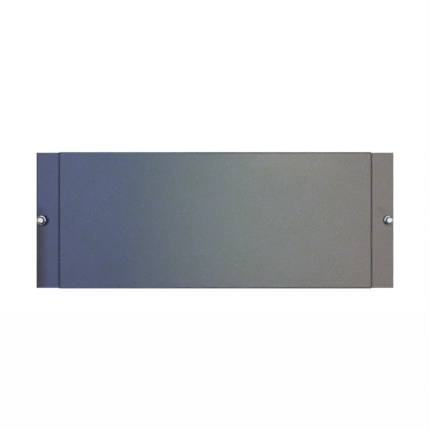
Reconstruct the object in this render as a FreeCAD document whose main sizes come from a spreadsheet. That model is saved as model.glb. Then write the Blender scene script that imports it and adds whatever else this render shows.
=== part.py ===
"""Rack blanking panel: a folded steel sheet with a stepped ear and a sprung captive screw at each side.

The panel stands upright. X runs across it, Z is up, and the front looks towards -Y. The origin lies halfway
between the two screws, on the plane where the ears seat on the rack's rails, so Y = 0 is the back of the ears.
All sizes are in millimetres.
"""

import FreeCAD, Part
import os
import Sketcher
from FreeCAD import Vector

# Driving sizes: alias, value and what it measures.
SIZES = [
    ("panel_height", 221.46, "five rack units, less the gap to the next panel"),
    ("face_width", 506.0, "across the raised face, over its side walls"),
    ("ear_width", 39.1, "from a side wall to the ear's outer edge, so that the ears span a 23 inch rack"),
    ("hole_edge", 8.73, "from the ear's outer edge to the screw's axis"),
    ("face_step", 12.5, "from the front of the ears to the front of the face"),
    ("sheet", 1.5, "thickness of the steel sheet"),
    ("bend_radius", 0.8, "inside radius of every fold"),
    ("flange_setback", 1.0, "from the back edge of the top and bottom flanges to the rail plane"),
    ("corner_relief", 0.9, "radius of the round relief where two folds meet"),
    ("relief_land", 0.3, "flat edge between a relief and the end of a fold"),
    ("corner_gap", 0.5, "between the end of a flange and the side wall beside it"),
    ("ear_corner", 1.0, "radius of the ears' outer corners"),
    ("ferrule_shank", 9.0, "diameter of the ferrule where it is pressed into the ear"),
    ("ferrule_web", 1.0, "thickness of the cup's floor in front of the ear"),
    ("ferrule_rise", 6.0, "height of the cup's rim above the front of the ear"),
    ("ferrule_foot", 0.8, "height of the straight edge round the ferrule's foot"),
    ("ferrule_flare", 1.0, "how far the foot stands out beyond the rim"),
    ("rim_wall", 2.3, "thickness of the cup's wall at the rim"),
    ("rim_bevel", 0.6, "bevel on the rim's two edges"),
    ("cup_gap", 0.8, "gap between the head and the cup that it is pushed into"),
    ("neck", 4.2, "diameter of the screw's plain neck"),
    ("neck_clearance", 0.05, "gap round the neck in the cup's floor"),
    ("thread", 5.486, "outer diameter of the thread, number 12"),
    ("thread_reach", 3.0, "from the rail plane to the screw's tip, with the screw sprung out"),
    ("thread_lead", 0.6, "bevel at the screw's tip"),
    ("stop_gap", 0.1, "between the thread's shoulder and the ferrule's back"),
    ("head", 8.8, "diameter of the screw's head"),
    ("head_length", 5.2, "from the head's underside to the top of its crown"),
    ("head_crown", 0.6, "height of the domed crown"),
    ("head_sink", 0.2, "depth of the head's underside in the cup, with the screw sprung out"),
    ("flute_count", 12, "number of grip flutes round the head"),
    ("flute_radius", 0.9, "radius of one flute"),
    ("flute_depth", 0.45, "depth of one flute in the head's side"),
    ("flute_land", 0.9, "plain band left between the flutes and the head's underside"),
    ("spring_coil", 8.0, "diameter of the spring, from wire middle to wire middle"),
    ("spring_wire", 0.6, "width and thickness of the spring's square wire"),
    ("spring_turns", 2, "turns of the spring"),
    ("spring_clearance", 0.05, "gap at each end of the spring"),
]

# Places that several pieces share. The distances out are measured from the rail plane towards the front.
FOLD = "(sizes.bend_radius + sizes.sheet)"
FACE_FRONT = "(-sizes.sheet - sizes.face_step)"
FACE_BACK = "(-sizes.face_step)"
FOLD_END = f"({FACE_FRONT} + {FOLD})"
SIDE = "(sizes.face_width / 2)"
TOP = "(sizes.panel_height / 2)"
SCREW_AXIS = f"({SIDE} + sizes.ear_width - sizes.hole_edge)"
CUP_FLOOR_OUT = "(sizes.sheet + sizes.ferrule_web)"
RIM_OUT = "(sizes.sheet + sizes.ferrule_rise)"
UNDERSIDE_OUT = f"({RIM_OUT} - sizes.head_sink)"
CROWN_OUT = f"({UNDERSIDE_OUT} + sizes.head_length)"
CUP_BORE = "(sizes.head + 2 * sizes.cup_gap)"
RIM = f"({CUP_BORE} + 2 * sizes.rim_wall)"
NECK_BORE = "(sizes.neck + 2 * sizes.neck_clearance)"

doc = FreeCAD.newDocument("rack_blanking_panel")
sheet = doc.addObject("Spreadsheet::Sheet", "sizes")
for row, (alias, value, meaning) in enumerate(SIZES, start=1):
    sheet.set(f"A{row}", str(value))
    sheet.setAlias(f"A{row}", alias)
    sheet.set(f"B{row}", meaning)
doc.recompute()


def measured(expression):
    """The value of an expression in the sheet's sizes, as a plain number."""
    return float(sheet.evalExpression(expression))


def new_body(label):
    """An empty body that is named for its piece."""
    body = doc.addObject("PartDesign::Body", label)
    body.Label = label
    return body


def origin_plane(body, role):
    """One of the body's own origin planes."""
    return next(item for item in body.Origin.OriginFeatures if item.Role == role)


def new_sketch(body, name, role):
    """A sketch that lies on one of the body's origin planes."""
    sketch = body.newObject("Sketcher::SketchObject", name)
    sketch.AttachmentSupport = [(origin_plane(body, role), "")]
    sketch.MapMode = "FlatFace"
    return sketch


def hold(sketch, curve, end, across, along):
    """Tie one point of a curve to its place, given as two expressions from the sketch's origin."""
    for kind, axis, expression in (("DistanceX", -2, across), ("DistanceY", -1, along)):
        value = measured(expression)
        if abs(value) < 1e-9:
            sketch.addConstraint(Sketcher.Constraint("PointOnObject", curve, end, axis))
            continue
        number = sketch.addConstraint(Sketcher.Constraint(kind, -1, 1, curve, end, value))
        sketch.setExpression(f"Constraints[{number}]", expression)


def outline(sketch, corners):
    """A closed outline through corners, each (across, along) or (across, along, side, radius).

    A corner with a radius starts an arc that bulges to the left of its travel where side is 1, and to the
    right where it is -1.
    """
    places = [Vector(measured(corner[0]), measured(corner[1]), 0) for corner in corners]
    curves = []
    for number, corner in enumerate(corners):
        start = places[number]
        end = places[(number + 1) % len(places)]
        if len(corner) == 2:
            curves.append(sketch.addGeometry(Part.LineSegment(start, end)))
            continue
        chord = end - start
        radius = measured(corner[3])
        sideways = Vector(-chord.y, chord.x, 0).normalize()
        bulge = radius - (radius**2 - chord.Length**2 / 4) ** 0.5
        middle = (start + end) * 0.5 + sideways * (corner[2] * bulge)
        # A sketch turns its arcs anticlockwise, so one that bulges to the left is drawn backwards.
        ends = (start, middle, end) if corner[2] < 0 else (end, middle, start)
        curves.append(sketch.addGeometry(Part.Arc(*ends)))
    forward = [len(corner) == 2 or corner[2] < 0 for corner in corners]
    for number, corner in enumerate(corners):
        first = 1 if forward[number] else 2
        last_before = 2 if forward[number - 1] else 1
        joint = Sketcher.Constraint("Coincident", curves[number - 1], last_before, curves[number], first)
        sketch.addConstraint(joint)
        hold(sketch, curves[number], first, corner[0], corner[1])
    for curve, corner in zip(curves, corners):
        if len(corner) == 4:
            number = sketch.addConstraint(Sketcher.Constraint("Radius", curve, measured(corner[3])))
            sketch.setExpression(f"Constraints[{number}]", corner[3])


def circle(sketch, across, along, diameter):
    """A round whose middle and diameter are tied to the sizes."""
    middle = Vector(measured(across), measured(along), 0)
    curve = sketch.addGeometry(Part.Circle(middle, Vector(0, 0, 1), measured(diameter) / 2))
    hold(sketch, curve, 3, across, along)
    number = sketch.addConstraint(Sketcher.Constraint("Diameter", curve, measured(diameter)))
    sketch.setExpression(f"Constraints[{number}]", diameter)


def pad_both_ways(body, sketch, name, length):
    """Material on both sides of the sketch's plane."""
    pad = body.newObject("PartDesign::Pad", name)
    pad.Profile = sketch
    pad.Midplane = True
    pad.setExpression("Length", length)
    return pad


def pocket_both_ways(body, sketch, name):
    """A cut on both sides of the sketch's plane, right through the piece."""
    pocket = body.newObject("PartDesign::Pocket", name)
    pocket.Profile = sketch
    pocket.Midplane = True
    pocket.Type = "ThroughAll"
    return pocket


def mirrored(body, feature, name, role):
    """The same feature on the other side of one of the body's origin planes."""
    twin = body.newObject("PartDesign::Mirrored", name)
    twin.Originals = [feature]
    twin.MirrorPlane = (origin_plane(body, role), [""])
    body.Tip = twin
    return twin


def edges_where(shape, fits):
    """The names of a shape's edges whose middles pass a test."""
    return [f"Edge{number}" for number, edge in enumerate(shape.Edges, start=1) if fits(edge)]


def dressed(body, base, name, kind, fits, length, expression):
    """A Fillet or Chamfer on the edges of the base feature that pass a test. The length is its Radius or Size."""
    doc.recompute()
    dressing = body.newObject(f"PartDesign::{kind}", name)
    dressing.Base = (base, edges_where(base.Shape, fits))
    dressing.setExpression(length, expression)
    return dressing


def revolved(body, sketch, name):
    """A full turn about the sketch's upright axis."""
    turned = body.newObject("PartDesign::Revolution", name)
    turned.Profile = sketch
    turned.ReferenceAxis = (sketch, ["V_Axis"])
    turned.Angle = 360
    return turned


def folded_panel():
    """The sheet: a raised face, side walls that step back to the ears, and flanges at top and bottom.

    Each fold is a quarter round of the sheet. The folds stop at the corners of the face, where a round relief
    keeps the sheet from tearing, and the flanges tuck in between the side walls.
    """
    body = new_body("panel")
    fold_short = f"({FOLD} + sizes.corner_relief + sizes.relief_land)"
    side_fold_length = f"sizes.panel_height - 2 * {fold_short}"
    top_fold_length = f"sizes.face_width - 2 * {fold_short}"
    wall_foot = "(-sizes.sheet - sizes.bend_radius)"
    ear_edge = f"{SIDE} + sizes.ear_width"

    face = new_sketch(body, "face_section", "XY_Plane")
    outline(face, [
        (f"-({SIDE} - {FOLD})", FACE_FRONT),
        (f"{SIDE} - {FOLD}", FACE_FRONT),
        (f"{SIDE} - {FOLD}", FACE_BACK),
        (f"-({SIDE} - {FOLD})", FACE_BACK),
    ])
    pad_both_ways(body, face, "face", f"sizes.panel_height - 2 * {FOLD}")

    reliefs = new_sketch(body, "corner_relief_rounds", "XZ_Plane")
    for side in ("", "-"):
        for end in ("", "-"):
            circle(reliefs, f"{side}({SIDE} - {FOLD})", f"{end}({TOP} - {FOLD})", "2 * sizes.corner_relief")
    pocket_both_ways(body, reliefs, "corner_reliefs")

    side_fold = new_sketch(body, "side_fold_section", "XY_Plane")
    outline(side_fold, [
        (f"{SIDE} - {FOLD}", FACE_FRONT, -1, FOLD),
        (SIDE, FOLD_END),
        (f"{SIDE} - sizes.sheet", FOLD_END, 1, "sizes.bend_radius"),
        (f"{SIDE} - {FOLD}", FACE_BACK),
    ])
    mirrored(body, pad_both_ways(body, side_fold, "side_fold", side_fold_length), "other_side_fold", "YZ_Plane")

    ear = new_sketch(body, "ear_section", "XY_Plane")
    outline(ear, [
        (SIDE, FOLD_END),
        (SIDE, wall_foot, 1, "sizes.bend_radius"),
        (f"{SIDE} + sizes.bend_radius", "-sizes.sheet"),
        (ear_edge, "-sizes.sheet"),
        (ear_edge, "0"),
        (f"{SIDE} + sizes.bend_radius", "0", -1, FOLD),
        (f"{SIDE} - sizes.sheet", wall_foot),
        (f"{SIDE} - sizes.sheet", FOLD_END),
    ])
    mirrored(body, pad_both_ways(body, ear, "ear", "sizes.panel_height"), "other_ear", "YZ_Plane")

    top_fold = new_sketch(body, "top_fold_section", "YZ_Plane")
    outline(top_fold, [
        (FACE_FRONT, f"{TOP} - {FOLD}", 1, FOLD),
        (FOLD_END, TOP),
        (FOLD_END, f"{TOP} - sizes.sheet", -1, "sizes.bend_radius"),
        (FACE_BACK, f"{TOP} - {FOLD}"),
    ])
    mirrored(body, pad_both_ways(body, top_fold, "top_fold", top_fold_length), "bottom_fold", "XY_Plane")

    flange = new_sketch(body, "flange_section", "YZ_Plane")
    outline(flange, [
        (FOLD_END, TOP),
        ("-sizes.flange_setback", TOP),
        ("-sizes.flange_setback", f"{TOP} - sizes.sheet"),
        (FOLD_END, f"{TOP} - sizes.sheet"),
    ])
    flange_length = "sizes.face_width - 2 * (sizes.sheet + sizes.corner_gap)"
    mirrored(body, pad_both_ways(body, flange, "top_flange", flange_length), "bottom_flange", "XY_Plane")

    holes = new_sketch(body, "ferrule_hole_rounds", "XZ_Plane")
    for side in ("", "-"):
        circle(holes, f"{side}{SCREW_AXIS}", "0", "sizes.ferrule_shank")
    drilled = pocket_both_ways(body, holes, "ferrule_holes")

    def at_ear_corner(edge):
        middle = edge.CenterOfMass
        across = abs(abs(middle.x) - measured(ear_edge))
        up = abs(abs(middle.z) - measured(TOP))
        return across < 1e-4 and up < 1e-4

    dressed(body, drilled, "ear_corners", "Fillet", at_ear_corner, "Radius", "sizes.ear_corner")
    return body


def ferrule(label, side):
    """A turned cup, pressed into the ear by its shank. The screw's head sinks into it."""
    body = new_body(label)
    section = new_sketch(body, f"{label}_section", "XY_Plane")
    foot_radius = f"({RIM} / 2 + sizes.ferrule_flare)"
    outline(section, [
        (f"{NECK_BORE} / 2", "0"),
        ("sizes.ferrule_shank / 2", "0"),
        ("sizes.ferrule_shank / 2", "-sizes.sheet"),
        (foot_radius, "-sizes.sheet"),
        (foot_radius, "-sizes.sheet - sizes.ferrule_foot"),
        (f"{RIM} / 2", f"-{RIM_OUT}"),
        (f"{CUP_BORE} / 2", f"-{RIM_OUT}"),
        (f"{CUP_BORE} / 2", f"-{CUP_FLOOR_OUT}"),
        (f"{NECK_BORE} / 2", f"-{CUP_FLOOR_OUT}"),
    ])
    cup = revolved(body, section, f"{label}_cup")

    def on_rim(edge):
        return all(abs(corner.Point.y + measured(RIM_OUT)) < 1e-4 for corner in edge.Vertexes)

    dressed(body, cup, f"{label}_rim", "Chamfer", on_rim, "Size", "sizes.rim_bevel")
    body.setExpression("Placement.Base.x", f"{side}{SCREW_AXIS}")
    return body


def captive_screw(label, side):
    """A domed, fluted head on a neck that is thinner than the thread, which keeps the screw in its ferrule."""
    body = new_body(label)
    section = new_sketch(body, f"{label}_section", "XY_Plane")
    crown_radius = "(((sizes.head / 2) ^ 2 + sizes.head_crown ^ 2) / (2 * sizes.head_crown))"
    outline(section, [
        ("0", f"-{CROWN_OUT}", -1, crown_radius),
        ("sizes.head / 2", f"-{CROWN_OUT} + sizes.head_crown"),
        ("sizes.head / 2", f"-{UNDERSIDE_OUT}"),
        ("sizes.neck / 2", f"-{UNDERSIDE_OUT}"),
        ("sizes.neck / 2", "sizes.stop_gap"),
        ("sizes.thread / 2", "sizes.stop_gap"),
        ("sizes.thread / 2", "sizes.thread_reach - sizes.thread_lead"),
        ("sizes.thread / 2 - sizes.thread_lead", "sizes.thread_reach"),
        ("0", "sizes.thread_reach"),
    ])
    turned = revolved(body, section, f"{label}_turned")

    flute = new_sketch(body, f"{label}_flute_round", "XZ_Plane")
    flute.setExpression("AttachmentOffset.Base.z", f"{UNDERSIDE_OUT} + sizes.flute_land")
    circle(flute, "0", "sizes.head / 2 + sizes.flute_radius - sizes.flute_depth", "2 * sizes.flute_radius")
    cut = body.newObject("PartDesign::Pocket", f"{label}_flute")
    cut.Profile = flute
    cut.Type = "ThroughAll"
    cut.Reversed = True
    doc.recompute()
    if cut.Shape.Volume > turned.Shape.Volume - 0.01:
        raise RuntimeError(f"the flute of {label} cuts nothing")

    flutes = body.newObject("PartDesign::PolarPattern", f"{label}_flutes")
    flutes.Originals = [cut]
    flutes.Axis = (origin_plane(body, "Y_Axis"), [""])
    flutes.Angle = 360
    flutes.setExpression("Occurrences", "sizes.flute_count")
    body.Tip = flutes
    body.setExpression("Placement.Base.x", f"{side}{SCREW_AXIS}")
    return body


def return_spring(label, side):
    """An open coil between the cup's floor and the head's underside, which holds the screw out."""
    body = new_body(label)
    wire = new_sketch(body, f"{label}_wire", "XY_Plane")
    inner = "(sizes.spring_coil - sizes.spring_wire) / 2"
    outer = "(sizes.spring_coil + sizes.spring_wire) / 2"
    front = f"-{UNDERSIDE_OUT} + sizes.spring_clearance"
    outline(wire, [
        (inner, front),
        (outer, front),
        (outer, f"{front} + sizes.spring_wire"),
        (inner, f"{front} + sizes.spring_wire"),
    ])
    coil = body.newObject("PartDesign::AdditiveHelix", f"{label}_coil")
    coil.Profile = wire
    coil.ReferenceAxis = (wire, ["V_Axis"])
    coil.Mode = 2
    taken = "(sizes.spring_wire + 2 * sizes.spring_clearance)"
    coil.setExpression("Height", f"{UNDERSIDE_OUT} - {CUP_FLOOR_OUT} - {taken}")
    coil.setExpression("Turns", "sizes.spring_turns")
    body.setExpression("Placement.Base.x", f"{side}{SCREW_AXIS}")
    return body


def write_parts(bodies):
    """Check every object of the document, then write one file for each piece."""
    doc.recompute()
    for item in doc.Objects:
        if "Invalid" in item.State or "Error" in item.State:
            raise RuntimeError(f"{item.Label} didn't build: {item.State}")
    os.makedirs("parts", exist_ok=True)
    for body in bodies:
        if body.Shape.isNull() or not body.Shape.isValid() or not body.Shape.Solids:
            raise RuntimeError(f"{body.Label} has no sound solid")
        body.Shape.exportStep(f"parts/{body.Label}.step")
        print(f"{body.Label}: {len(body.Shape.Solids)} solid, {body.Shape.Volume:.1f} cubic mm")


pieces = [folded_panel()]
for name, side in (("left", "-"), ("right", "")):
    pieces.append(ferrule(f"{name}_ferrule", side))
    pieces.append(captive_screw(f"{name}_screw", side))
    pieces.append(return_spring(f"{name}_spring", side))
write_parts(pieces)
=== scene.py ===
# %% [markdown]
# # A rack blanking panel, dressed for its picture
#
# The real object is one folded steel sheet with a fine powder coat. At each side a bright captive screw
# stands in a dark turned cup, held out by a small spring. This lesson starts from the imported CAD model,
# keeps its sheet as it is and gives it a coat, and builds the small turned pieces again as smooth
# surfaces, because polished metal shows every facet. The CAD model stays the frame: each new piece lies
# exactly where its CAD piece lies.

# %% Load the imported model
import math
import bpy
import numpy as np
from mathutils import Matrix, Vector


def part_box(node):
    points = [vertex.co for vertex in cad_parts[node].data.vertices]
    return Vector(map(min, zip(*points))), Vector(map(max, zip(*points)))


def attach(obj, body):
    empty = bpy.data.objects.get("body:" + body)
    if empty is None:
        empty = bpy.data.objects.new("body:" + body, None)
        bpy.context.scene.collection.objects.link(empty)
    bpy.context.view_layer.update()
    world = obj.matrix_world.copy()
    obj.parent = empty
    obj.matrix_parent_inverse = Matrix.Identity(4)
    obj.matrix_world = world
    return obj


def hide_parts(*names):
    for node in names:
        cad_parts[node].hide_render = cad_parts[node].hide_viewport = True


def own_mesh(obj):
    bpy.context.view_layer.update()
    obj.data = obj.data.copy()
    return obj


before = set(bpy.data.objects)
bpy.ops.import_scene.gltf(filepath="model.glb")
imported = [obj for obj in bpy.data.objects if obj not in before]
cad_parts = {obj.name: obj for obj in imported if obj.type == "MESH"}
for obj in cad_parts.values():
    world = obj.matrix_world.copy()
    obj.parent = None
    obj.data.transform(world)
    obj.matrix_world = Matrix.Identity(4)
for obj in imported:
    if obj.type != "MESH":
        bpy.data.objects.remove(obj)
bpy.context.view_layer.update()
print("pieces of the frame:", sorted(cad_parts))

# %% [markdown]
# ## The sizes that the new pieces share
#
# A new piece has to sit on the CAD piece that carries it, so the places come from the frame itself. The
# middle of a ferrule's box is the screw's axis, and the front and back ends of the boxes give the rim, the
# crown and the tip. The front is -Y, so the front end of a box is its lower one. The values that no box
# tells, such as the head's length, are written once, where they are first needed.

# %% Read the places from the frame
MM = 0.001
SIDES = ("left", "right")
EAR_FRONT = -1.5 * MM
HEAD_LENGTH = 5.2 * MM


def axis_of(side):
    """The place across the panel where that side's screw stands."""
    low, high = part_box(f"{side}_ferrule")
    return (low.x + high.x) / 2


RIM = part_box("left_ferrule")[0].y
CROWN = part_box("left_screw")[0].y
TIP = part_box("left_screw")[1].y
UNDERSIDE = CROWN + HEAD_LENGTH
for side in SIDES:
    print(side, "screw at x =", round(axis_of(side) / MM, 2), "mm")
print("crown, rim and tip at y =", [round(value / MM, 2) for value in (CROWN, RIM, TIP)], "mm")

# %% [markdown]
# ## Surfaces from whole arrays
#
# Every turned piece is a profile that goes once round an axis. A grid of points is enough for all of them,
# with rows along the profile and columns round the axis. A rod has two ends that close on one point each,
# and a ring has a profile that closes on itself. The faces follow from the numbers of the rows and the
# columns alone, so one helper makes the mesh of each piece. The signed volume that is printed for each
# piece is above zero when its faces point outwards.

# %% Helpers for meshes
def add_object(name, data):
    """An object that is linked to the scene."""
    made = bpy.data.objects.new(name, data)
    bpy.context.scene.collection.objects.link(made)
    return made


def grid_faces(rows, columns, closed):
    """Quads between neighbours in a grid whose columns go round, and whose rows do too if closed."""
    row = np.arange(rows if closed else rows - 1)[:, None]
    column = np.arange(columns)[None, :]
    after = (row + 1) % rows
    beside = (column + 1) % columns
    corners = (
        row * columns + column,
        row * columns + beside,
        after * columns + beside,
        after * columns + column,
    )
    return np.stack(np.broadcast_arrays(*corners), axis=-1).reshape(-1, 4)


def piece_from_grid(name, grid, ends=None):
    """A mesh object from a grid of points. Ends are the points that close the first and the last row."""
    rows, columns = grid.shape[:2]
    points = grid.reshape(-1, 3)
    faces = grid_faces(rows, columns, closed=ends is None).tolist()
    if ends is not None:
        column = np.arange(columns)
        beside = (column + 1) % columns
        first = np.full(columns, len(points))
        last = np.full(columns, len(points) + 1)
        offset = (rows - 1) * columns
        points = np.vstack([points, ends])
        faces += np.stack([first, beside, column], axis=-1).tolist()
        faces += np.stack([last, offset + column, offset + beside], axis=-1).tolist()
    mesh = bpy.data.meshes.new(name)
    mesh.from_pydata(points.tolist(), [], faces)
    mesh.validate()
    return add_object(name, mesh)


# %% [markdown]
# ## Turning a profile
#
# A turned part is a closed profile carried round its axis. The sharp corners of a real one are broken, and
# a broken edge is what catches the light, so each corner of a profile is rounded a little before it is
# turned. The shading is smooth, apart from creases where the surface turns by more than 32 degrees.

# %% Helpers for turned pieces
COLUMNS = 192
TURN = np.linspace(0, 2 * np.pi, COLUMNS, endpoint=False)
SHARP_DEGREES = 32


def softened(corners, reach, steps=9):
    """A closed profile with rounded corners: each becomes a parabola between two points at its reach."""
    before = np.roll(corners, 1, axis=0) - corners
    after = np.roll(corners, -1, axis=0) - corners
    start = corners + before / np.linalg.norm(before, axis=1, keepdims=True) * reach[:, None]
    end = corners + after / np.linalg.norm(after, axis=1, keepdims=True) * reach[:, None]
    share = np.linspace(0, 1, steps)[None, :, None]
    from_start = (1 - share) ** 2 * start[:, None]
    from_corner = 2 * (1 - share) * share * corners[:, None]
    from_end = share**2 * end[:, None]
    return (from_start + from_corner + from_end).reshape(-1, 2)


def about_axis(radius, along, across, turn=TURN):
    """Points round an axis that runs along Y. Radius, along and turn are stretched to one shape."""
    radius, along, turn = np.broadcast_arrays(radius, along, turn)
    return np.stack([across + radius * np.cos(turn), along, radius * np.sin(turn)], axis=-1)


def finished(piece):
    """Smooth shading with sharp creases, and a word on the piece's volume and number of faces."""
    mesh = piece.data
    mesh.shade_smooth()
    mesh.set_sharp_from_angle(angle=math.radians(SHARP_DEGREES))
    mesh.calc_loop_triangles()
    corners = np.empty(len(mesh.vertices) * 3)
    mesh.vertices.foreach_get("co", corners)
    corners = corners.reshape(-1, 3)
    triangles = np.empty(len(mesh.loop_triangles) * 3, int)
    mesh.loop_triangles.foreach_get("vertices", triangles)
    a, b, c = (corners[triangles.reshape(-1, 3)[:, number]] for number in range(3))
    volume = np.einsum("ij,ij->i", a, np.cross(b, c)).sum() / 6
    print(f"{piece.name}: {volume / MM**3:.1f} cubic mm, {len(triangles) // 3} triangles")
    return piece


print("each turned piece has", COLUMNS, "points round its axis")

# %% [markdown]
# ## The ferrules
#
# A ferrule is turned from bar: a shank that is pressed into the ear, a flared foot that seats on it, a cone
# that rises to a rim, and a bore that the screw's head sinks into.

# %% Turn the two ferrules
FOOT_RADIUS = 8.5 * MM
FOOT_EDGE = 0.8 * MM
RIM_RADIUS = 7.5 * MM
CUP_RADIUS = 5.2 * MM
CUP_FLOOR = -2.5 * MM
SHANK_RADIUS = 4.5 * MM
NECK_BORE = 2.15 * MM

# Each row is a corner: its radius, its place along the axis, and how far its rounding reaches.
FERRULE_CORNERS = np.array([
    (NECK_BORE, 0, 0.05 * MM),
    (SHANK_RADIUS, 0, 0.1 * MM),
    (SHANK_RADIUS, EAR_FRONT, 0.02 * MM),
    (FOOT_RADIUS, EAR_FRONT, 0.1 * MM),
    (FOOT_RADIUS, EAR_FRONT - FOOT_EDGE, 0.3 * MM),
    (RIM_RADIUS, RIM, 1.1 * MM),
    (CUP_RADIUS, RIM, 0.9 * MM),
    (CUP_RADIUS, CUP_FLOOR, 0.3 * MM),
    (NECK_BORE, CUP_FLOOR, 0.1 * MM),
])


def make_ferrule(side):
    """The ferrule's section, from the bore's back edge on, turned about the screw's axis."""
    profile = softened(FERRULE_CORNERS[:, :2], FERRULE_CORNERS[:, 2])
    grid = about_axis(profile[:, :1], profile[:, 1:], axis_of(side))
    piece = finished(piece_from_grid(f"{side}_cup", grid))
    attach(piece, "panel")
    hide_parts(f"{side}_ferrule")
    return piece


cups = [make_ferrule(side) for side in SIDES]

# %% [markdown]
# ## The screws
#
# The head is a disc with a low dome and twelve scallops for the fingers, the neck is plain, and the thread
# starts behind the ear. All of it is one surface: the radius is a function of the height along the axis and
# of the turn. A scallop is the part of a circle that stands inside the head's edge. The thread is a ridge
# whose height depends on how far the turn has got within one pitch.

# %% The rings of the head
HEAD_RADIUS = 4.4 * MM
CROWN_RISE = 0.6 * MM
CROWN_RINGS = 26
FLUTES = 12
FLUTE_RADIUS = 0.9 * MM
FLUTE_DEPTH = 0.45 * MM
FLUTE_END = 3.35 * MM
FLUTE_RUN_OUT = 0.55 * MM

# On the crown, the innermost ring and the start of the flutes are shares of the head's radius.
CROWN_MIDDLE = 0.06
FLUTE_START = 0.55

# Each row is a ring of the head's side: how far it lies below the dome, and how much its edge is broken.
SIDE_RINGS = np.array([
    (0.1, 0.06), (0.25, 0), (1.0, 0), (2.4, 0), (3.35, 0), (3.5, 0), (3.7, 0), (3.9, 0), (4.4, 0),
    (4.53, 0.07), (4.6, 0.2),
]) * MM


def scalloped(turn):
    """The head's radius at each turn: the near side of a flute's circle, or the edge between flutes."""
    middle = HEAD_RADIUS + FLUTE_RADIUS - FLUTE_DEPTH
    off = (turn * FLUTES / (2 * np.pi) + 0.5) % 1 - 0.5
    off = off * 2 * np.pi / FLUTES
    inside = np.clip(FLUTE_RADIUS**2 - (middle * np.sin(off)) ** 2, 0, None)
    near = middle * np.cos(off) - np.sqrt(inside)
    return np.where(inside > 0, np.minimum(near, HEAD_RADIUS), HEAD_RADIUS)


def dome(radius):
    """How far behind the crown's top the dome lies: a ball that falls CROWN_RISE by the head's edge."""
    ball = (HEAD_RADIUS**2 + CROWN_RISE**2) / (2 * CROWN_RISE)
    return ball - np.sqrt(ball**2 - radius**2)


def crown_rings():
    """The dome, from near the middle to its edge. The scallops fade in towards the edge."""
    share = np.linspace(CROWN_MIDDLE, 1, CROWN_RINGS)[:, None]
    edge = np.clip((share - FLUTE_START) / (1 - FLUTE_START), 0, 1) ** 2
    radius = share * (HEAD_RADIUS * (1 - edge) + scalloped(TURN)[None, :] * edge)
    return radius, CROWN + dome(radius)


def side_rings():
    """The scalloped side, the run-out of the scallops and the plain land, down to the underside."""
    below, broken = SIDE_RINGS[:, :1], SIDE_RINGS[:, 1:]
    run_out = np.clip((below - FLUTE_END) / FLUTE_RUN_OUT, 0, 1)
    radius = scalloped(TURN)[None, :] * (1 - run_out) + HEAD_RADIUS * run_out - broken
    return radius, np.broadcast_to(CROWN + CROWN_RISE + below, radius.shape)


print("head:", round(2 * HEAD_RADIUS / MM, 2), "mm across, with", FLUTES, "flutes")

# %% The rings of the neck and the thread
UNDERSIDE_RADIUS = 3.4 * MM
NECK_RADIUS = 2.1 * MM
NECK_FILLET = 0.2 * MM
THREAD_RADIUS = 2.743 * MM
THREAD_START = 0.1 * MM
THREAD_PITCH = 1.058 * MM
THREAD_DEPTH = 0.6 * MM
THREAD_LEAD = 0.6 * MM
THREAD_RINGS = 46

# The ridge's height, from 0 at the root to 1 at the flat top, is the distance in pitches from the root's
# middle, times the flank's slope, less the sink.
FLANK_SLOPE = 2.6
ROOT_SINK = 0.15


def neck_rings():
    """The flat underside of the head, a small fillet, and the plain neck as far as the thread."""
    radius = np.array([UNDERSIDE_RADIUS, NECK_RADIUS + NECK_FILLET, NECK_RADIUS, NECK_RADIUS])[:, None]
    along = np.array([UNDERSIDE, UNDERSIDE, UNDERSIDE + NECK_FILLET, THREAD_START])[:, None]
    shape = (len(radius), COLUMNS)
    return np.broadcast_to(radius, shape), np.broadcast_to(along, shape)


def thread_rings():
    """The thread: a ridge with a flat top whose place moves one pitch along for each turn round."""
    along = np.linspace(THREAD_START, TIP, THREAD_RINGS)[:, None]
    phase = (along / THREAD_PITCH - TURN[None, :] / (2 * np.pi)) % 1
    ridge = np.clip((0.5 - np.abs(phase - 0.5)) * FLANK_SLOPE - ROOT_SINK, 0, 1)
    radius = THREAD_RADIUS - THREAD_DEPTH * (1 - ridge)
    lead = THREAD_RADIUS - THREAD_LEAD + (TIP - along)
    return np.minimum(radius, lead), np.broadcast_to(along, radius.shape)


print("thread:", round(2 * THREAD_RADIUS / MM, 2), "mm across, from the ear's back to the tip")


# %% Turn the two screws
def make_screw(side):
    """Head, neck and thread joined ring by ring, closed by one point on the crown and one at the tip."""
    stretches = [crown_rings(), side_rings(), neck_rings(), thread_rings()]
    radius = np.vstack([stretch[0] for stretch in stretches])
    along = np.vstack([stretch[1] for stretch in stretches])
    grid = about_axis(radius, along, axis_of(side))[::-1]
    ends = [(axis_of(side), TIP, 0), (axis_of(side), CROWN, 0)]
    piece = finished(piece_from_grid(f"{side}_thumb_screw", grid, ends))
    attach(piece, f"{side}_screw")
    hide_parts(f"{side}_screw")
    return piece


screws = [make_screw(side) for side in SIDES]

# %% [markdown]
# ## The springs
#
# A spring is a round section carried along a helix. Its frame at each point is simple: one direction points
# away from the axis, the other runs along it. The spring rides on the plunger, the body that a press moves
# and a turn doesn't. It fills the room that is left between the head's underside and the cup's floor.

# %% Wind the two springs
COIL_RADIUS = 4.0 * MM
WIRE_RADIUS = 0.3 * MM
WIRE_COLUMNS = 16
SPRING_TURNS = 2
ROWS_IN_TURN = 48
SPRING_GAP = 0.05 * MM


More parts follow.
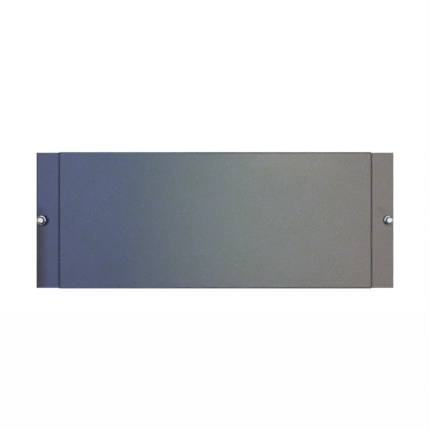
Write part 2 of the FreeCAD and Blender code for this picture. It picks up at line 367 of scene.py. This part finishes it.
def make_spring(side):
    """Rows go along the helix and columns round the wire."""
    share = np.linspace(0, 1, SPRING_TURNS * ROWS_IN_TURN)[:, None]
    section = np.linspace(0, 2 * np.pi, WIRE_COLUMNS, endpoint=False)[None, :]
    front = UNDERSIDE + SPRING_GAP + WIRE_RADIUS
    back = CUP_FLOOR - SPRING_GAP - WIRE_RADIUS
    radius = COIL_RADIUS + WIRE_RADIUS * np.cos(section)
    along = front + (back - front) * share + WIRE_RADIUS * np.sin(section)
    grid = about_axis(radius, along, axis_of(side), turn=share * SPRING_TURNS * 2 * np.pi)
    ends = grid[[0, -1]].mean(axis=1)
    piece = finished(piece_from_grid(f"{side}_coil", grid, ends))
    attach(piece, f"{side}_plunger")
    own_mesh(piece)
    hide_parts(f"{side}_spring")
    return piece


coils = [make_spring(side) for side in SIDES]

# %% [markdown]
# ## One group for the grain of every surface
#
# Powder coat, plating and drawn wire all vary in the same three ways: a fine grain that tilts the surface,
# a broad unevenness of tone, and a gloss that isn't the same everywhere. One node group makes the three
# from two noises, and each material places it with its own values. It reads Object coordinates, so the
# grain has a real size and stays on the piece when the piece moves.

# %% Helpers for nodes
NODE_STEP = 250
NODES_IN_ROW = 8


def add_node(tree, kind, **settings):
    """A node with its settings in one call. Nodes are laid out in rows, in the order they are made."""
    down, right = divmod(len(tree.nodes), NODES_IN_ROW)
    node = tree.nodes.new(kind)
    node.location = ((right - NODES_IN_ROW) * NODE_STEP, -down * NODE_STEP)
    for name, value in settings.items():
        setattr(node, name, value)
    return node


def feed(tree, socket, value):
    """Give a socket its value, which is a number or another node's output."""
    if isinstance(value, (int, float)):
        socket.default_value = value
    else:
        tree.links.new(value, socket)


def reckon(tree, operation, *values):
    """The output of one Math node."""
    node = add_node(tree, "ShaderNodeMath", operation=operation)
    for socket, value in zip(node.inputs, values):
        feed(tree, socket, value)
    return node.outputs[0]


def noise(tree, scale, detail, roughness=0.5):
    """A noise on Object coordinates, around 0.5. The scale is in features per metre."""
    place = add_node(tree, "ShaderNodeTexCoord")
    field = add_node(tree, "ShaderNodeTexNoise")
    field.inputs["Detail"].default_value = detail
    field.inputs["Roughness"].default_value = roughness
    tree.links.new(place.outputs["Object"], field.inputs["Vector"])
    feed(tree, field.inputs["Scale"], scale)
    return field.outputs["Fac"]


# %% Build the grain group
GRAIN_SOCKETS = ("Grain", "Patches", "Patch Share", "Tone Change", "Gloss", "Gloss Change")


def grain_group():
    """Tone and gloss follow (fine - 0.5) + share x (broad - 0.5). The height follows the fine noise."""
    tree = bpy.data.node_groups.new("surface_grain", "ShaderNodeTree")
    for name in GRAIN_SOCKETS:
        tree.interface.new_socket(name, in_out="INPUT", socket_type="NodeSocketFloat")
    for name in ("Tone", "Roughness", "Height"):
        tree.interface.new_socket(name, in_out="OUTPUT", socket_type="NodeSocketFloat")
    given = add_node(tree, "NodeGroupInput").outputs
    fine = noise(tree, given["Grain"], detail=3, roughness=0.6)
    broad = noise(tree, given["Patches"], detail=2)
    fine_part = reckon(tree, "SUBTRACT", fine, 0.5)
    broad_part = reckon(tree, "SUBTRACT", broad, 0.5)
    centred = reckon(tree, "MULTIPLY_ADD", broad_part, given["Patch Share"], fine_part)
    tone = reckon(tree, "MULTIPLY_ADD", centred, given["Tone Change"], 1)
    gloss = reckon(tree, "MULTIPLY_ADD", centred, given["Gloss Change"], given["Gloss"])
    made = add_node(tree, "NodeGroupOutput")
    tree.links.new(tone, made.inputs["Tone"])
    tree.links.new(gloss, made.inputs["Roughness"])
    tree.links.new(fine, made.inputs["Height"])
    return tree


GRAIN = grain_group()
print("group", GRAIN.name, "with", len(GRAIN.nodes), "nodes")

# %% [markdown]
# ## The four finishes
#
# The sheet is powder coated: a matt, slightly pebbled grey with a grain of about two millimetres. The
# ferrules are plated with black nickel and the screws are bright plated, so both are almost mirrors with
# faint marks of the lathe. The springs are drawn wire. The Principled shader makes all four. Its constant
# values are set on its own sockets, and the group feeds what changes over the surface.

# %% Make the four finishes
COAT_COLOUR = (0.169, 0.18, 0.214)
COAT_SPECULAR = 0.15
PLATE_COLOUR = (0.74, 0.77, 0.78)
DARK_COLOUR = (0.15, 0.165, 0.18)
WIRE_COLOUR = (0.42, 0.41, 0.4)

# Each row: the name, the colour, how metallic it is, the relief, and the group's values in their order.
FINISHES = [
    ("powder_coat", COAT_COLOUR, 0, 0.12 * MM, (520, 30, 0.1, 0.55, 0.6, 0.1)),
    ("bright_plate", PLATE_COLOUR, 1, 0.002 * MM, (2500, 120, 1, 0.06, 0.16, 0.08)),
    ("dark_plate", DARK_COLOUR, 1, 0.002 * MM, (2500, 120, 1, 0.1, 0.22, 0.08)),
    ("spring_steel", WIRE_COLOUR, 1, 0.004 * MM, (4000, 300, 1, 0.15, 0.32, 0.15)),
]


def shader_of(material):
    """The Principled shader of a material."""
    return material.node_tree.nodes["Principled BSDF"]


def grained_material(name, colour, metallic, relief, grain_values):
    """A Principled material whose tone, roughness and relief come from the grain group."""
    material = bpy.data.materials.new(name)
    material.use_nodes = True
    tree = material.node_tree
    shader = shader_of(material)
    shader.inputs["Metallic"].default_value = metallic
    group = add_node(tree, "ShaderNodeGroup", node_tree=GRAIN)
    for socket_name, value in zip(GRAIN_SOCKETS, grain_values):
        group.inputs[socket_name].default_value = value
    tint = add_node(tree, "ShaderNodeVectorMath", operation="SCALE")
    tint.inputs[0].default_value = colour
    bump = add_node(tree, "ShaderNodeBump")
    bump.inputs["Strength"].default_value = 1
    bump.inputs["Distance"].default_value = relief
    tree.links.new(group.outputs["Tone"], tint.inputs["Scale"])
    tree.links.new(tint.outputs[0], shader.inputs["Base Color"])
    tree.links.new(group.outputs["Roughness"], shader.inputs["Roughness"])
    tree.links.new(group.outputs["Height"], bump.inputs["Height"])
    tree.links.new(bump.outputs["Normal"], shader.inputs["Normal"])
    return material


coat, plate, dark_plate, wire = [grained_material(*finish) for finish in FINISHES]
shader_of(coat).inputs["Specular IOR Level"].default_value = COAT_SPECULAR
print("finishes:", [material.name for material in (coat, plate, dark_plate, wire)])

# %% [markdown]
# ## Masks that lay one colour over another
#
# The coat isn't one even grey, and every finish has marks: some of use, and some that are painted shade,
# painted shadow, painted highlights or a painted reflection. Each of these is a mask, a number from 0 to 1
# worked out from Object coordinates, and the mask lays a second colour over the first. A few helpers build
# the nodes, so that each mark below reads as a sum. A pair of values says where a mask is 0 and where it is
# 1: a place in metres, a noise from 0 to 1, and a direction as a share.

# %% Helpers for masks
def object_place(tree):
    """The X, Y and Z of the shaded point in the piece's own coordinates, in metres."""
    place = add_node(tree, "ShaderNodeTexCoord")
    split = add_node(tree, "ShaderNodeSeparateXYZ")
    tree.links.new(place.outputs["Object"], split.inputs[0])
    return split.outputs


def fade(tree, value, start, end):
    """A smooth step that is 0 at start and 1 at end."""
    step = add_node(tree, "ShaderNodeMapRange", interpolation_type="SMOOTHSTEP")
    step.inputs["From Min"].default_value = start
    step.inputs["From Max"].default_value = end
    tree.links.new(value, step.inputs["Value"])
    return step.outputs["Result"]


def product(tree, first, *others):
    """The product of all the values."""
    for value in others:
        first = reckon(tree, "MULTIPLY", first, value)
    return first


def squares(tree, across, up):
    """The sum of two squares."""
    return reckon(tree, "ADD", reckon(tree, "POWER", across, 2), reckon(tree, "POWER", up, 2))


def overlay(material, mask, colour, blend_type):
    """Mix a colour over what feeds Base Color now, by the mask."""
    tree = material.node_tree
    base = shader_of(material).inputs["Base Color"]
    mix = add_node(tree, "ShaderNodeMix", data_type="RGBA", blend_type=blend_type)
    tree.links.new(mask, mix.inputs["Factor"])
    tree.links.new(base.links[0].from_socket, mix.inputs["A"])
    mix.inputs["B"].default_value = (*colour, 1)
    tree.links.new(mix.outputs["Result"], base)


# %% [markdown]
# ## An uneven coat
#
# The hue of the coat drifts a little between green and purple, over patches of about two centimetres.
# Grains stand out here and there, gathered in loose groups, some darker and some paler than the rest. Along
# the top of the face a band to the right is painted a little paler and warmer, a painted sheen of light.

# %% Vary the coat
DRIFT_SCALE = 45
DRIFT_EDGES = (0.38, 0.62)
GROUP_SCALE = 60
GROUP_EDGES = (0.42, 0.58)
SPECK_SCALE = 480
DARK_TAIL = (0.38, 0.12)
PALE_TAIL = (0.62, 0.88)
FACE_DEPTH = (-0.0095, -0.0115)
BAND_LEFT = (0.005, 0.085)
BAND_RIGHT = (0.225, 0.18)
BAND_HEIGHT = (0.048, 0.1)


def drift(tree):
    """Patches that are 0 and patches that are 1, with soft edges."""
    return fade(tree, noise(tree, DRIFT_SCALE, detail=1), *DRIFT_EDGES)


def specks(tree, tail):
    """The grains that stand out: one tail of a fine noise, kept where a broad noise gathers them."""
    gathered = fade(tree, noise(tree, GROUP_SCALE, detail=1), *GROUP_EDGES)
    return product(tree, fade(tree, noise(tree, SPECK_SCALE, detail=0), *tail), gathered)


def on_face(tree):
    """1 on the raised face and on the fronts of its folds, and 0 behind them."""
    return fade(tree, object_place(tree)[1], *FACE_DEPTH)


def painted_sheen_band(tree):
    """A painted sheen: 1 along the face's top, from right of the middle to near its right end, 0 below."""
    x, _, z = object_place(tree)
    length = product(tree, fade(tree, x, *BAND_LEFT), fade(tree, x, *BAND_RIGHT))
    return product(tree, length, fade(tree, z, *BAND_HEIGHT), on_face(tree))


coat_tree = coat.node_tree
# The last change is a painted sheen of light along the face's top.
COAT_CHANGES = [
    (drift(coat_tree), (0.95, 1.0, 0.9)),
    (specks(coat_tree, DARK_TAIL), (0.72, 0.72, 0.72)),
    (specks(coat_tree, PALE_TAIL), (1.3, 1.3, 1.3)),
    (painted_sheen_band(coat_tree), (1.12, 1.07, 1.06)),
]
for mask, colour in COAT_CHANGES:
    overlay(coat, mask, colour, "MULTIPLY")
print("the coat's tree has", len(coat_tree.nodes), "nodes so far")

# %% [markdown]
# ## Painted shade and a smudge on the coat
#
# A painted shadow makes the left ear dark and brownish along its outer edge, most of all below the screw,
# and a painted shadow lies beside the left ferrule's foot. Painted shade darkens the face's long folds from
# the middle to the right end, and the corner beside the face, on its left fold and on the right ear. There
# is a faint smudge above the right screw. No mark on an ear goes through the sheet to its back.

# %% Painted shade along the edges and folds
FRONT_DEPTH = (-0.0004, -0.0012)
EDGE_LINE = (-0.2886, -0.2908)
EDGE_LINE_SHARE = 0.85
EDGE_PATCH = (-0.27, -0.29)
EDGE_PATCH_HEIGHT = (0.036, -0.002)
LONG_FOLD = (0.1073, 0.1089)
LONG_FOLD_START = (-0.15, 0.02)
LEFT_FOLD = (-0.2505, -0.2522)
SEAM_OUTER = (0.2588, 0.2572)
SEAM_INNER = (0.252, 0.2535)
SEAM_DEPTH = (-0.005, -0.003)
SEAM_SHARE = 0.55


def front_side(tree):
    """1 on the ears' front and in front of it, and 0 on the ears' back."""
    return fade(tree, object_place(tree)[1], *FRONT_DEPTH)


def edge_painted_shadow(tree):
    """Painted shadow: a narrow dark line along the left ear's outer edge, and a wider patch below the
    screw.
    """
    x, _, z = object_place(tree)
    line = product(tree, fade(tree, x, *EDGE_LINE), EDGE_LINE_SHARE)
    patch = product(tree, fade(tree, x, *EDGE_PATCH), fade(tree, z, *EDGE_PATCH_HEIGHT))
    return product(tree, reckon(tree, "MAXIMUM", line, patch), front_side(tree))


def fold_painted_shade(tree):
    """Painted shade: a dark line along the face's top and bottom folds, from the middle to the right end.
    """
    x, _, z = object_place(tree)
    outer = fade(tree, reckon(tree, "ABSOLUTE", z), *LONG_FOLD)
    return product(tree, outer, on_face(tree), fade(tree, x, *LONG_FOLD_START))


def seam_painted_shade(tree):
    """Painted shade beside the face: on its left fold, and on the right ear close to the step."""
    x, y, _ = object_place(tree)
    fold = product(tree, fade(tree, x, *LEFT_FOLD), on_face(tree))
    inside = product(tree, fade(tree, x, *SEAM_OUTER), fade(tree, x, *SEAM_INNER))
    ear = product(tree, inside, SEAM_SHARE, fade(tree, y, *SEAM_DEPTH))
    return product(tree, reckon(tree, "MAXIMUM", fold, ear), front_side(tree))


print("the left edge's patch fades over", round((EDGE_PATCH[0] - EDGE_PATCH[1]) / MM, 1), "mm")

# %% Painted shadow at the left foot, the smudge, and all the coat's marks laid on
SMUDGE_PLACE = (0.2716, 0.0175)
SMUDGE_HALF = (0.011, 0.0065)
SMUDGE_SLANT = 0.45
SMUDGE_EDGE = (1.0, 0.1)
FOOT_SHADOW_PLACE = (axis_of("left") + 3.2 * MM, -0.5 * MM)
FOOT_SHADOW_REACH = (9.4 * MM, 8.2 * MM)


def smudge_mark(tree):
    """A slanted oval on the right ear: 1 in its middle and 0 at its rim."""
    x, _, z = object_place(tree)
    across = reckon(tree, "SUBTRACT", x, SMUDGE_PLACE[0])
    up = reckon(tree, "MULTIPLY_ADD", across, SMUDGE_SLANT, reckon(tree, "SUBTRACT", z, SMUDGE_PLACE[1]))
    oval = squares(tree, product(tree, across, 1 / SMUDGE_HALF[0]), product(tree, up, 1 / SMUDGE_HALF[1]))
    return product(tree, fade(tree, oval, *SMUDGE_EDGE), front_side(tree))


def foot_painted_shadow(tree):
    """Painted shadow beside the left ferrule's foot, a crescent on the side towards the middle."""
    x, _, z = object_place(tree)
    across = reckon(tree, "SUBTRACT", x, FOOT_SHADOW_PLACE[0])
    up = reckon(tree, "SUBTRACT", z, FOOT_SHADOW_PLACE[1])
    reach = reckon(tree, "SQRT", squares(tree, across, up))
    return product(tree, fade(tree, reach, *FOOT_SHADOW_REACH), front_side(tree))


# The first four marks are painted shadow and shade; the smudge is a real mark.
COAT_MARKS = [
    (edge_painted_shadow, (0.67, 0.55, 0.41)),
    (foot_painted_shadow, (0.3, 0.32, 0.36)),
    (fold_painted_shade, (0.58, 0.58, 0.58)),
    (seam_painted_shade, (0.45, 0.45, 0.5)),
    (smudge_mark, (0.89, 0.88, 0.88)),
]
for mark, colour in COAT_MARKS:
    overlay(coat, mark(coat_tree), colour, "MULTIPLY")
print("marks on the coat:", [mark.__name__ for mark, colour in COAT_MARKS])

# %% [markdown]
# ## Painted highlights and shade on the fasteners
#
# Each ferrule's rim carries a painted highlight in the bright plating's colour, on the side towards the
# middle and above, and at the outermost point. A painted reflection makes its outer half a little lighter.
# Painted shade darkens the inner side of both bores and the right ferrule's lower inner side. Painted shade
# darkens the crown of the left screw outside a slanted bright band, and that of the right one on its lower
# outer side. The scalloped grips are painted as dark as the ferrules, as painted shade. The sign of X tells
# the two sides apart where a mark is on one of them only.

# %% Helpers for places on a fastener
SIDE_SPLIT = 0.1


def on_side(tree, side):
    """1 on that side's fastener and 0 on the other one."""
    reach = SIDE_SPLIT if side == "right" else -SIDE_SPLIT
    return fade(tree, object_place(tree)[0], -reach, reach)


def from_axis(tree):
    """The point seen from the nearer screw's axis: towards the middle, up, and the distance."""
    x, _, z = object_place(tree)
    inward = reckon(tree, "SUBTRACT", axis_of("right"), reckon(tree, "ABSOLUTE", x))
    return inward, z, reckon(tree, "SQRT", squares(tree, inward, z))


def weighed(tree, inward, up, weights):
    """The sum of inward and up, each times its weight."""
    return reckon(tree, "ADD", product(tree, inward, weights[0]), product(tree, up, weights[1]))


def leaning(tree, weights):
    """The weighed sum over the distance: the largest where the rim faces the way of the weights."""
    inward, up, reach = from_axis(tree)
    return reckon(tree, "DIVIDE", weighed(tree, inward, up, weights), reach)


# %% Painted highlights, reflection and shade on the ferrules
# A direction has two weights: how much it points towards the middle, and how much it points up.
UPPER_INNER = (1, 1)
HIGHLIGHT_QUARTER = (0.5, 1.05)
HIGHLIGHT_DEPTH = (RIM + 1.0 * MM, RIM + 0.3 * MM)
OUTERMOST = (-1, 0)
HIGHLIGHT_POINT = (0.92, 0.99)
HIGHLIGHT_POINT_SHARE = 0.55
OUTER = (-1, -0.3)
REFLECTION_HALF = (-0.1, 0.6)
REFLECTION_SHARE = 0.12
LOWER_INNER = (0.9, -0.44)
SHADE_PATCH = (0.78, 0.96)
INNER = (1, 0)
SHADE_HALF = (0.0, 0.6)
SHADE_SHARE = 0.7
BORE_REACH = (CUP_RADIUS + 0.5 * MM, CUP_RADIUS)


def rim_painted_highlight(tree):
    """Painted highlight: 1 on the rim's inner upper quarter, and about half of that at its outermost point.
    """
    quarter = fade(tree, leaning(tree, UPPER_INNER), *HIGHLIGHT_QUARTER)
    point = product(tree, fade(tree, leaning(tree, OUTERMOST), *HIGHLIGHT_POINT), HIGHLIGHT_POINT_SHARE)
    on_rim = fade(tree, object_place(tree)[1], *HIGHLIGHT_DEPTH)
    return product(tree, reckon(tree, "MAXIMUM", quarter, point), on_rim)


def side_painted_reflection(tree):
    """A painted reflection: a little of the bright metal's colour on the outer half."""
    return product(tree, fade(tree, leaning(tree, OUTER), *REFLECTION_HALF), REFLECTION_SHARE)


def rim_and_bore_painted_shade(tree):
    """Painted shade: 1 on the right ferrule's lower inner side, and less on the inner side of both bores.
    """
    low = product(tree, fade(tree, leaning(tree, LOWER_INNER), *SHADE_PATCH), on_side(tree, "right"))
    bore = fade(tree, from_axis(tree)[2], *BORE_REACH)
    inner = product(tree, fade(tree, leaning(tree, INNER), *SHADE_HALF), SHADE_SHARE)
    return reckon(tree, "MAXIMUM", low, product(tree, bore, inner))


# The painted highlight on the ferrules' rims reaches this far back.
print("the rubbed rim reaches", round((HIGHLIGHT_DEPTH[0] - RIM) / MM, 2), "mm back from the front")

# %% Painted shade on the screws, and all the fasteners' painted light laid on
BAND_WEIGHTS = (0.42, 1)
BAND_EDGE = (3.0 * MM, 3.8 * MM)
CAP_WEIGHTS = (-0.6, -0.8)
CAP_EDGE = (2.8 * MM, 3.8 * MM)
GRIP_START = (CROWN + CROWN_RISE - 0.1 * MM, CROWN + CROWN_RISE + 0.3 * MM)
GRIP_END = (UNDERSIDE + 0.1 * MM, UNDERSIDE - 0.1 * MM)


def crown_painted_shade(tree):
    """Painted shade: 1 outside a slanted band of the left crown, and on the lower outer cap of the right
    one.
    """
    inward, up, _ = from_axis(tree)
    off_band = reckon(tree, "ABSOLUTE", weighed(tree, inward, up, BAND_WEIGHTS))
    left_caps = product(tree, fade(tree, off_band, *BAND_EDGE), on_side(tree, "left"))
    lower = weighed(tree, inward, up, CAP_WEIGHTS)
    right_cap = product(tree, fade(tree, lower, *CAP_EDGE), on_side(tree, "right"))
    return reckon(tree, "MAXIMUM", left_caps, right_cap)


def grip_painted_shade(tree):
    """Painted shade: 1 on the head's scalloped side and 0 on its crown."""
    y = object_place(tree)[1]
    return product(tree, fade(tree, y, *GRIP_START), fade(tree, y, *GRIP_END))


# Painted reflection, shade and highlight on the ferrules, and painted shade on the screws.
FASTENER_MARKS = [
    (dark_plate, side_painted_reflection, PLATE_COLOUR, "MIX"),
    (dark_plate, rim_and_bore_painted_shade, (0.35, 0.5, 0.45), "MULTIPLY"),
    (dark_plate, rim_painted_highlight, PLATE_COLOUR, "MIX"),
    (plate, crown_painted_shade, (0.45, 0.48, 0.5), "MULTIPLY"),
    (plate, grip_painted_shade, DARK_COLOUR, "MIX"),
]
for material, mark, colour, blend_type in FASTENER_MARKS:
    overlay(material, mark(material.node_tree), colour, blend_type)
    print("mark on", material.name, "by", mark.__name__)

# %% Dress the pieces
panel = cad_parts["panel"]
panel.data.materials.clear()
for pieces, material in (([panel], coat), (cups, dark_plate), (screws, plate), (coils, wire)):
    for piece in pieces:
        piece.data.materials.append(material)
        print(piece.name, "wears", material.name)

# %% [markdown]
# ## Floor and surroundings
#
# The panel is held up by its screws, as on a rack, so the floor lies well below it. The surroundings are a
# dim sky for the light that falls on the panel, and plain white for the camera and for what bright metal
# mirrors. Light Path tells the two apart. The floor keeps a small share of matt white, on which the panel's
# shadow falls.

# %% Make the world
SKY_COLOUR = (0.02, 0.025, 0.04, 1)
WHITE = (1, 1, 1, 1)


def seen_directly(tree):
    """1 for camera, mirror and glass rays, and 0 for the rays that carry light to matt surfaces."""
    ray = add_node(tree, "ShaderNodeLightPath").outputs
    first = reckon(tree, "MAXIMUM", ray["Is Camera Ray"], ray["Is Glossy Ray"])
    return reckon(tree, "MAXIMUM", first, ray["Is Transmission Ray"])


def mix_into(tree, output_kind, factor, plain, seen):
    """Mix two shaders by the factor, and lead the mix to the tree's output."""
    choice = add_node(tree, "ShaderNodeMixShader")
    output = add_node(tree, output_kind)
    tree.links.new(factor, choice.inputs[0])
    tree.links.new(plain.outputs[0], choice.inputs[1])
    tree.links.new(seen.outputs[0], choice.inputs[2])
    tree.links.new(choice.outputs[0], output.inputs[0])


world = bpy.data.worlds.new("surroundings")
bpy.context.scene.world = world
world.use_nodes = True
sky_tree = world.node_tree
sky_tree.nodes.clear()
dim = add_node(sky_tree, "ShaderNodeBackground")
dim.inputs["Color"].default_value = SKY_COLOUR
white = add_node(sky_tree, "ShaderNodeBackground")
white.inputs["Color"].default_value = WHITE
mix_into(sky_tree, "ShaderNodeOutputWorld", seen_directly(sky_tree), dim, white)
print("world", world.name, "with", len(sky_tree.nodes), "nodes")

# %% Make the floor
FLOOR_LEVEL = -0.9
FLOOR_HALF = 6.0
FLOOR_COLOUR = (0.85, 0.85, 0.85, 1)
WHITE_SHARE = 0.99

floor_mesh = bpy.data.meshes.new("floor")
floor_corners = [
    (x * FLOOR_HALF, y * FLOOR_HALF, FLOOR_LEVEL) for x, y in ((-1, -1), (1, -1), (1, 1), (-1, 1))
]
floor_mesh.from_pydata(floor_corners, [], [(0, 1, 2, 3)])
floor = add_object("floor", floor_mesh)

paint = bpy.data.materials.new("pale_floor")
paint.use_nodes = True
floor_tree = paint.node_tree
floor_tree.nodes.clear()
matt = add_node(floor_tree, "ShaderNodeBsdfDiffuse")
matt.inputs["Color"].default_value = FLOOR_COLOUR
glow = add_node(floor_tree, "ShaderNodeEmission")
glow.inputs["Strength"].default_value = 1
white_part = product(floor_tree, seen_directly(floor_tree), WHITE_SHARE)
mix_into(floor_tree, "ShaderNodeOutputMaterial", white_part, matt, glow)
floor_mesh.materials.append(paint)
print("floor at z =", FLOOR_LEVEL, "m")

# %% [markdown]
# ## Light
#
# The photograph's light comes from in front, from a place nearer than the camera, because both ears have a
# narrow shadow beside the raised face. It is cool on the left and warm on the right. Four soft lamps stand
# in the same place and are turned different ways, so that both shadows fall outwards and the colour still
# changes across the face. Weak lamps behind, above and at the sides stay out of the front's light, because
# they stand behind the face's plane or graze it. They are there for the views from other sides.

# %% Make the lamps
def soft_lamp(name, place, size, turn_degrees, drop_degrees, spread_degrees, colour, watts):
    """An area lamp. Turn 0 faces +Y, a positive turn faces to the right, and a drop faces down."""
    data = bpy.data.lights.new(name, "AREA")
    data.shape = "RECTANGLE"
    data.size, data.size_y = size
    data.spread = math.radians(spread_degrees)
    data.color = colour
    data.energy = watts
    lamp = add_object(name, data)
    lamp.location = place
    lamp.rotation_euler = (math.radians(90 - drop_degrees), 0, math.radians(-turn_degrees))
    lamp.visible_camera = False
    lamp.visible_glossy = False
    print(f"{name}: {watts} W, turned {turn_degrees} degrees")


LAMP_PLACE = (-0.012, -0.83, 0.08)
LAMP_SIZE = (0.08, 0.5)

# Each row: the name, the turn, the drop and the spread in degrees, the colour, and the power in watts.
LAMPS = [
    ("left_lamp", -65, -10, 120, (0.481, 0.536, 1.0), 5.09),
    ("middle_lamp", 10, 0, 140, (0.476, 0.523, 1.0), 3.56),
    ("narrow_lamp", 5, 0, 50, (0.469, 0.91, 0.179), 0.293),
    ("right_lamp", 80, 0, 180, (1.0, 0.593, 0.116), 13.6),
]
for name, turn, drop, spread, colour, watts in LAMPS:
    soft_lamp(name, LAMP_PLACE, LAMP_SIZE, turn, drop, spread, colour, watts)

FILL_SPREAD = 180

# Each row: the name, the place and the size in metres, the turn and the drop, and the power.
FILLS = [
    ("back_fill", (0.4, 1.5, 0.6), (1.2, 0.8), 193, 20, 10.0),
    ("top_fill", (0.0, 0.25, 1.4), (1.2, 0.4), 0, 90, 6.5),
    ("left_fill", (-1.4, -0.08, 0.3), (0.1, 0.8), 90, 12, 1.6),
    ("right_fill", (1.4, -0.08, 0.3), (0.1, 0.8), -90, 12, 1.6),
]
for name, place, size, turn, drop, watts in FILLS:
    soft_lamp(name, place, size, turn, drop, FILL_SPREAD, WHITE[:3], watts)

# %% [markdown]
# ## Camera
#
# The camera looks straight at the panel from 1.2 m, so that the sheet's edges stay parallel in the picture.
# It stands a little to the left, because the left ear looks wider than the right one. A small shift of the
# lens puts the panel in the middle of the frame, and the lens gives the photograph's field, 704.6 mm wide
# at the panel.

# %% Place the camera
DISTANCE = 1.2
FIELD = 0.7046
EYE_LEFT = 0.031
FRAME_MIDDLE = (0.0001, 0.0087)
SENSOR_WIDTH = 36

lens = bpy.data.cameras.new("camera")
lens.sensor_width = SENSOR_WIDTH
lens.lens = SENSOR_WIDTH * DISTANCE / FIELD
lens.shift_x = (FRAME_MIDDLE[0] + EYE_LEFT) / FIELD
lens.shift_y = FRAME_MIDDLE[1] / FIELD
camera = add_object("camera", lens)
camera.location = (-EYE_LEFT, -DISTANCE, 0)
camera.rotation_euler = (math.radians(90), 0, 0)
bpy.context.scene.camera = camera
bpy.context.scene.view_settings.view_transform = "Standard"
print("lens:", round(lens.lens, 1), "mm, shifted by", round(lens.shift_x, 3), "and", round(lens.shift_y, 3))
